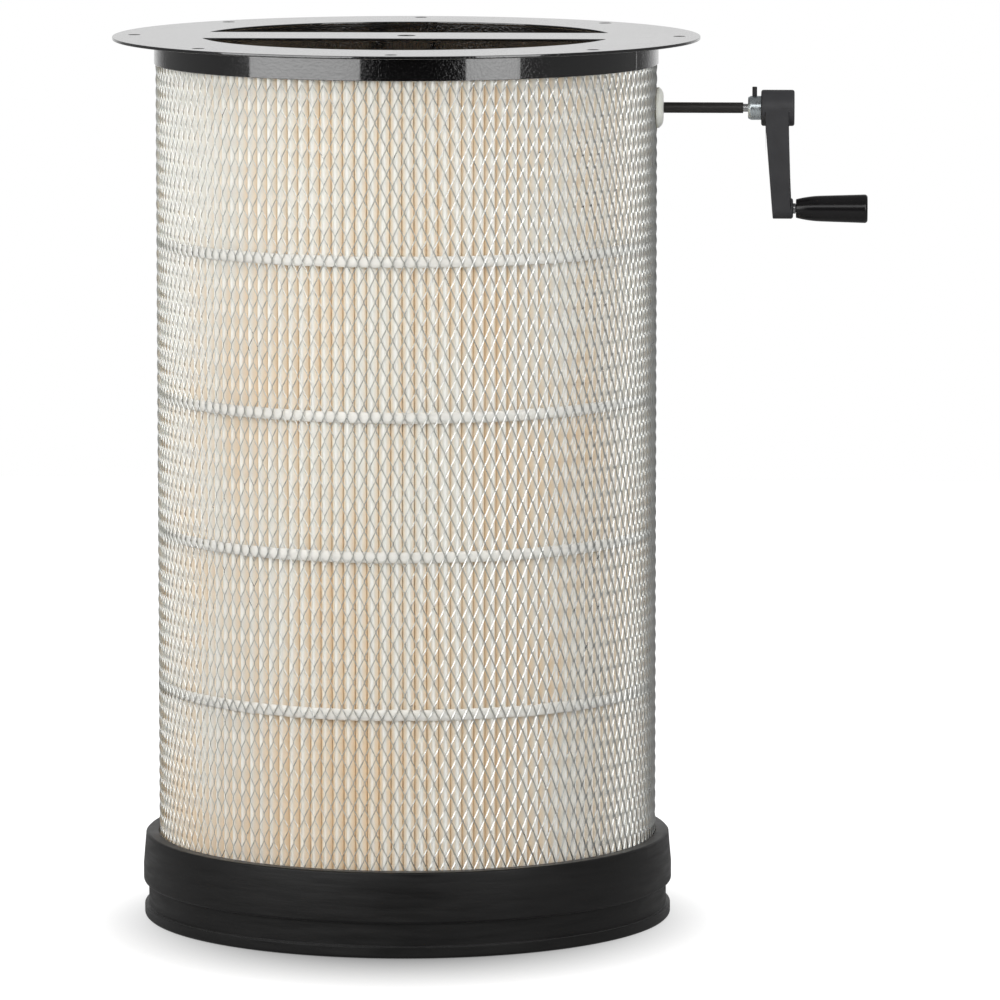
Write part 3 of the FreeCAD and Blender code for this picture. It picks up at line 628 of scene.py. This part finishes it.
class CARTRIDGE_OT_pleats(bpy.types.Operator):
    """One folded sheet of filter paper, its folds a little uneven"""
    bl_idname = "cartridge.pleats"
    bl_label = "Pleated paper"

    def fold_line(self, sizes):
        """One fold seen from above: a round crown and two sides that bulge towards the next."""
        centre = sizes.crown_reach - sizes.crown_radius
        deselect()
        bpy.ops.mesh.primitive_circle_add(vertices=CROWN_POINTS, radius=sizes.crown_radius,
                                          location=(centre, 0, media_low.z))
        fold = bpy.context.object
        fold.name = "folded_paper"
        place_in_mesh(fold)
        choose(fold, lambda place: place.x < centre - SAME_POINT)
        bpy.ops.mesh.delete(type="VERT")
        bpy.ops.object.mode_set(mode="OBJECT")

        half_fold = math.pi / sizes.count
        middle = Vector((math.cos(half_fold), math.sin(half_fold), 0))
        half_gap = Vector((0, sizes.bulge_gap / 2, 0))
        bulge = middle * (sizes.crown_reach - sizes.bulge_depth) - half_gap
        inwards, sideways = SHOULDER
        shoulder = Vector((centre * (1 - inwards) + bulge.x * inwards,
                           sizes.crown_radius * (1 - sideways) + bulge.y * sideways, 0))
        root = middle * sizes.root_reach
        bend = root + Vector((ROOT_BEND, -ROOT_BEND, 0))
        for side in (1, -1):
            place = Vector((centre, side * sizes.crown_radius, media_low.z))
            choose(fold, lambda spot: (spot - place).length < SAME_POINT)
            for stop in (shoulder, bulge, bend, root):
                stop = Vector((stop.x, side * stop.y, media_low.z))
                bpy.ops.mesh.extrude_region_move(TRANSFORM_OT_translate={"value": stop - place})
                place = stop
            bpy.ops.object.mode_set(mode="OBJECT")
        return fold

    def make_hole(self, fold):
        """Opens the paper behind the wall bush, for the crank's shaft."""
        hole = bush_reach * PAPER_HOLE
        least_x, most_y = HOLE_AREA
        for level in (crank_z - hole, crank_z + hole):
            choose(fold, lambda place: place.x > least_x and abs(place.y) < most_y, "FACE")
            bpy.ops.mesh.bisect(plane_co=(0, 0, level), plane_no=(0, 0, 1))
            bpy.ops.object.mode_set(mode="OBJECT")

        def in_hole(place):
            return place.x > 0 and abs(place.y) < hole and abs(place.z - crank_z) < hole

        choose(fold, in_hole, "FACE")
        bpy.ops.mesh.delete(type="FACE")
        bpy.ops.object.mode_set(mode="OBJECT")

    def execute(self, context):
        sizes = context.scene.cartridge_pleats
        fold = self.fold_line(sizes)
        array_round(fold, sizes.count)
        rise = (0, 0, (media_high.z - media_low.z) / sizes.levels)
        choose(fold, lambda place: True, "EDGE")
        for _ in range(sizes.levels):
            bpy.ops.mesh.extrude_region_move(TRANSFORM_OT_translate={"value": rise})
        outward(fold)
        self.make_hole(fold)
        for grain, share in WAVERS:
            clouds = bpy.data.textures.new("fold_waver", "CLOUDS")
            clouds.noise_scale = grain
            clouds.cloud_type = "COLOR"
            modify(fold, "DISPLACE", texture=clouds, strength=sizes.waver * share, mid_level=0.5,
                   direction="RGB_TO_XYZ")
        modify(fold, "SOLIDIFY", thickness=sizes.paper, offset=-1)
        outward(fold)
        hand_over(fold, "pleated_media", 50)
        return {"FINISHED"}


# Glue beads

BEADS = 4
BEAD_POINTS = 10                # points round a bead's oval section
BEAD_INSET = 0.0012             # middle of that oval, in from the bead's outermost point
BEAD_DEPTH = 0.0010             # half the oval's width
BEAD_HEIGHT = 0.62              # half its height, as a share of the node's height
BEAD_STEPS = 4                  # steps of a bead for each fold
DIP_SHARE = 0.2                 # part of a fold's width, to each side of the gap, where a bead dips
SAG_SIZE, SAG = 0.02, 0.0014    # length and height of a bead's waves, in metres


class CARTRIDGE_OT_beads(bpy.types.Operator):
    """Four rings of hot-melt glue that hold the folds apart"""
    bl_idname = "cartridge.beads"
    bl_label = "Glue beads"

    def execute(self, context):
        sizes = context.scene.cartridge_pleats

        def between_folds(place):
            step = math.atan2(place.y, place.x) * sizes.count / (2 * math.pi) % 1
            return abs(step - 0.5) < DIP_SHARE

        for number in range(1, BEADS + 1):
            name = f"glue_bead_{number}"
            low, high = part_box(name)
            middle = (low.z + high.z) / 2
            deselect()
            bpy.ops.mesh.primitive_circle_add(vertices=BEAD_POINTS, radius=1,
                                              location=(high.x - BEAD_INSET, 0, middle),
                                              rotation=(math.pi / 2, 0, 0))
            bead = bpy.context.object
            bead.name = f"glue_ring_{number}"
            bead.scale = (BEAD_DEPTH, (high.z - low.z) * BEAD_HEIGHT, 1)
            place_in_mesh(bead)
            choose(bead, lambda place: True, "EDGE")
            bpy.ops.mesh.spin(steps=sizes.count * BEAD_STEPS, angle=2 * math.pi,
                              center=(0, 0, 0), axis=(0, 0, 1))
            bpy.ops.mesh.select_all(action="SELECT")
            bpy.ops.mesh.remove_doubles(threshold=SEAM)
            bpy.ops.object.mode_set(mode="OBJECT")
            outward(bead)

            choose(bead, between_folds)
            shrink = 1 - sizes.bead_dip / high.x
            bpy.ops.transform.resize(value=(shrink, shrink, 1), center_override=(0, 0, middle))
            bpy.ops.object.mode_set(mode="OBJECT")
            clouds = bpy.data.textures.new("bead_sag", "CLOUDS")
            clouds.noise_scale = SAG_SIZE
            modify(bead, "DISPLACE", texture=clouds, strength=SAG, mid_level=0.5, direction="Z")
            hand_over(bead, name, 60)
        return {"FINISHED"}


# Dressed CAD pieces: each with the width of its rounded edges in metres

class CARTRIDGE_OT_sheet_metal(bpy.types.Operator):
    """Painted flange and bands, and the resin between them"""
    bl_idname = "cartridge.sheet_metal"
    bl_label = "Flange and bands"

    def execute(self, context):
        for name, edge in (("inlet_flange", 0.0006), ("upper_outer_band", 0.0004),
                           ("upper_inner_band", 0.0003), ("lower_inner_band", 0.0003),
                           ("lower_steady_bar", 0.0005), ("gear_bracket", 0.0005),
                           ("potting_ring", 0.0004)):
            dress(name, edge)
        return {"FINISHED"}


class CARTRIDGE_OT_collar(bpy.types.Operator):
    """Moulded rubber collar at the foot"""
    bl_idname = "cartridge.collar"
    bl_label = "Rubber collar"

    def execute(self, context):
        dress("rubber_collar", 0.0009, segments=3, smooth_angle=40)
        return {"FINISHED"}


class CARTRIDGE_OT_crank(bpy.types.Operator):
    """Bush, shaft, sleeve, arm and turning grip"""
    bl_idname = "cartridge.crank"
    bl_label = "Crank"

    def execute(self, context):
        for name, edge, segments in (("wall_bush", 0.0006, 3), ("wall_bush_nut", 0.0005, 2),
                                     ("drive_shaft", 0.0003, 2), ("shaft_sleeve", 0.0003, 2),
                                     ("hub_insert", 0.0003, 2), ("hub_grub_screw", 0.0003, 2),
                                     ("crank_arm", 0.0009, 3), ("handle_pin", 0.0003, 2),
                                     ("handle_grip", 0.0008, 3)):
            dress(name, edge, segments)
        return {"FINISHED"}


class CARTRIDGE_OT_gearing(bpy.types.Operator):
    """Bevel gears, bushes and the paddle shaft"""
    bl_idname = "cartridge.gearing"
    bl_label = "Gearing"

    def execute(self, context):
        for name, edge in (("bevel_gear", 0.00015), ("bevel_pinion", 0.00015),
                           ("gear_screw", 0.0002), ("pinion_screw", 0.0002),
                           ("bracket_shaft_bush", 0.0003), ("bracket_thrust_bush", 0.0003),
                           ("steady_bush", 0.0003), ("thrust_collar", 0.0005),
                           ("retaining_ring", 0.0003), ("paddle_shaft", 0.0005)):
            dress(name, edge)
        return {"FINISHED"}


class CARTRIDGE_OT_paddles(bpy.types.Operator):
    """Arms, rails, rubber flaps and their bolts"""
    bl_idname = "cartridge.paddles"
    bl_label = "Paddles"

    def execute(self, context):
        for level in ("lower", "middle", "upper"):
            dress(f"{level}_paddle_arm", 0.0005)
        for side in ("left", "right"):
            for kind in ("paddle_rail", "rubber_flap", "clamp_strip"):
                dress(f"{side}_{kind}", 0.0004)
        for name in ("arm_screws", "paddle_bolts", "paddle_nuts"):
            dress(name, 0.0003)
        return {"FINISHED"}


# Stage

FLOOR_SIZE = 7
FLOOR_DROP = 0.0002             # gap under the collar, so that the two never share a face
FLOOR_GREY = 0.24               # what the floor throws back on the object
# Painted shadow: the floor glows less to the camera in an oval round the base, which darkens it
# there on top of its cast shadow
SHADOW_OVAL = {"Location": (0, 0.06, 0), "Scale": (1.2, 1, 1)}
SHADOW_FADE = (0.2, 0.41)       # where in that oval, in metres, the painted shadow starts and stops to fade
SHADOW_LIFT = (0.12, 0.98)      # glow of the floor to the camera before and after it fades; the low glow near the base is the painted shadow

# What gloss shows of the surroundings: share of the way from behind the camera to behind the
# cartridge, and the brightness there
GLOSS_GREYS = ((0.02, 0.012), (0.35, 0.15), (0.9, 0.15), (0.985, 0.74))

LAMP_DISTANCE = 2.6
LAMP_TARGET = 0.85              # height that the lamps face, as a share of the jacket's top
SENSOR_WIDTH = 36.0             # millimetres


class CARTRIDGE_OT_stage(bpy.types.Operator):
    """White floor, white surroundings, three soft boxes and the camera"""
    bl_idname = "cartridge.stage"
    bl_label = "Stage"

    def floor(self):
        """Pale floor with the object's cast shadow and a painted shadow near it, and white to the
        camera further out.
        """
        deselect()
        bpy.ops.mesh.primitive_plane_add(size=FLOOR_SIZE, location=(0, 0, -FLOOR_DROP))
        floor = bpy.context.object
        floor.name = "floor"
        place_in_mesh(floor)
        material = surface("white_floor", (FLOOR_GREY,) * 3, 0.8, Specular_IOR_Level=0.1)
        seen = add_node(material, "ShaderNodeLightPath")
        glow = add_node(material, "ShaderNodeEmission")
        both = add_node(material, "ShaderNodeAddShader")
        start, end = SHADOW_FADE
        # Painted shadow: the glow to the camera is weaker near the base
        lift = between(material, distance(material, **SHADOW_OVAL), *SHADOW_LIFT, start, end)
        lift = calculate(material, "MULTIPLY", lift, seen.outputs["Is Camera Ray"])
        nodes = material.node_tree.nodes
        link(material, lift, glow.inputs["Strength"])
        link(material, nodes["Principled BSDF"].outputs[0], both.inputs[0])
        link(material, glow.outputs[0], both.inputs[1])
        link(material, both.outputs[0], nodes["Material Output"].inputs["Surface"])
        floor.data.materials.append(material)

    def surroundings(self, ambient):
        """White to the camera; gloss shows a pale backdrop, grey sides and a dark room in front."""
        world = bpy.data.worlds.new("surroundings")
        bpy.context.scene.world = world
        world.use_nodes = True
        background = world.node_tree.nodes["Background"]
        background.inputs["Color"].default_value = (1, 1, 1, 1)
        path = add_node(world, "ShaderNodeLightPath")
        direction = add_node(world, "ShaderNodeTexCoord")
        axes = add_node(world, "ShaderNodeSeparateXYZ")
        link(world, direction.outputs["Generated"], axes.inputs[0])
        depth = between(world, axes.outputs["Y"], 0, 1, start=-1, end=1)
        greys = ramp(world, depth, *((place, (grey, grey, grey)) for place, grey in GLOSS_GREYS))
        glossy = add_node(world, "ShaderNodeMix", A=ambient)
        camera = add_node(world, "ShaderNodeMix", B=1.0)
        link(world, path.outputs["Is Glossy Ray"], glossy.inputs["Factor"])
        link(world, greys, glossy.inputs["B"])
        link(world, path.outputs["Is Camera Ray"], camera.inputs["Factor"])
        link(world, glossy.outputs["Result"], camera.inputs["A"])
        link(world, camera.outputs["Result"], background.inputs["Strength"])

    def soft_box(self, name, azimuth, elevation, width, height, radiance):
        """Soft box that faces the cartridge's upper half; radiance is what it shows in a mirror."""
        turn, rise = math.radians(azimuth), math.radians(elevation)
        data = bpy.data.lights.new(name, "AREA")
        data.shape = "RECTANGLE"
        data.size, data.size_y = width, height
        data.energy = radiance * math.pi * width * height
        lamp = bpy.data.objects.new(name, data)
        lamp.location = (math.sin(turn) * math.cos(rise) * LAMP_DISTANCE,
                         -math.cos(turn) * math.cos(rise) * LAMP_DISTANCE,
                         math.sin(rise) * LAMP_DISTANCE + jacket_high.z * LAMP_TARGET)
        lamp.rotation_euler = (math.pi / 2 - rise, 0, turn)
        bpy.context.scene.collection.objects.link(lamp)

    def camera(self, stage):
        azimuth = stage.camera_azimuth
        data = bpy.data.cameras.new("camera")
        data.lens = stage.lens
        data.sensor_width = SENSOR_WIDTH
        camera = bpy.data.objects.new("camera", data)
        camera.location = (stage.camera_distance * math.sin(azimuth),
                           -stage.camera_distance * math.cos(azimuth), stage.camera_height)
        camera.rotation_euler = (math.pi / 2 - stage.camera_drop, 0, azimuth - stage.camera_turn)
        bpy.context.scene.collection.objects.link(camera)
        bpy.context.scene.camera = camera

    def execute(self, context):
        stage = context.scene.cartridge_stage
        self.floor()
        self.surroundings(stage.ambient)
        self.soft_box("left_soft_box", azimuth=-43.2, elevation=13,
                      width=2.66, height=1.6, radiance=2.3)
        self.soft_box("right_soft_box", azimuth=41.2, elevation=13,
                      width=1.18, height=1.6, radiance=2.4)
        self.soft_box("high_soft_box", azimuth=6, elevation=25,
                      width=1.8, height=0.7, radiance=1.7)
        self.camera(stage)
        context.scene.view_settings.view_transform = "Standard"
        return {"FINISHED"}


# Panel and registering

class CARTRIDGE_PT_panel(bpy.types.Panel):
    """Sizes, colours and steps of the cartridge"""
    bl_idname = "CARTRIDGE_PT_panel"
    bl_label = "Pleated dust cartridge"
    bl_space_type = "VIEW_3D"
    bl_region_type = "UI"
    bl_category = "Cartridge"

    def draw(self, context):
        for group in SETTINGS:
            settings = getattr(context.scene, group)
            box = self.layout.box()
            for name in settings.__annotations__:
                box.prop(settings, name)
        for step in STEPS:
            self.layout.operator(step.bl_idname)


SETTINGS = {
    "cartridge_jacket": JacketSizes,
    "cartridge_pleats": PleatSizes,
    "cartridge_colours": Colours,
    "cartridge_stage": StageSettings,
}
STEPS = (CARTRIDGE_OT_jacket, CARTRIDGE_OT_pleats, CARTRIDGE_OT_beads,
         CARTRIDGE_OT_sheet_metal, CARTRIDGE_OT_collar, CARTRIDGE_OT_crank,
         CARTRIDGE_OT_gearing, CARTRIDGE_OT_paddles, CARTRIDGE_OT_stage)


def register():
    for name, group in SETTINGS.items():
        bpy.utils.register_class(group)
        setattr(bpy.types.Scene, name, bpy.props.PointerProperty(type=group))
    for step in STEPS + (CARTRIDGE_PT_panel,):
        bpy.utils.register_class(step)


def unregister():
    for step in reversed(STEPS + (CARTRIDGE_PT_panel,)):
        bpy.utils.unregister_class(step)
    for name, group in SETTINGS.items():
        delattr(bpy.types.Scene, name)
        bpy.utils.unregister_class(group)


def main():
    register()
    bpy.ops.cartridge.jacket()
    bpy.ops.cartridge.pleats()
    bpy.ops.cartridge.beads()
    bpy.ops.cartridge.sheet_metal()
    bpy.ops.cartridge.collar()
    bpy.ops.cartridge.crank()
    bpy.ops.cartridge.gearing()
    bpy.ops.cartridge.paddles()
    bpy.ops.cartridge.stage()


if __name__ == "__main__":
    main()
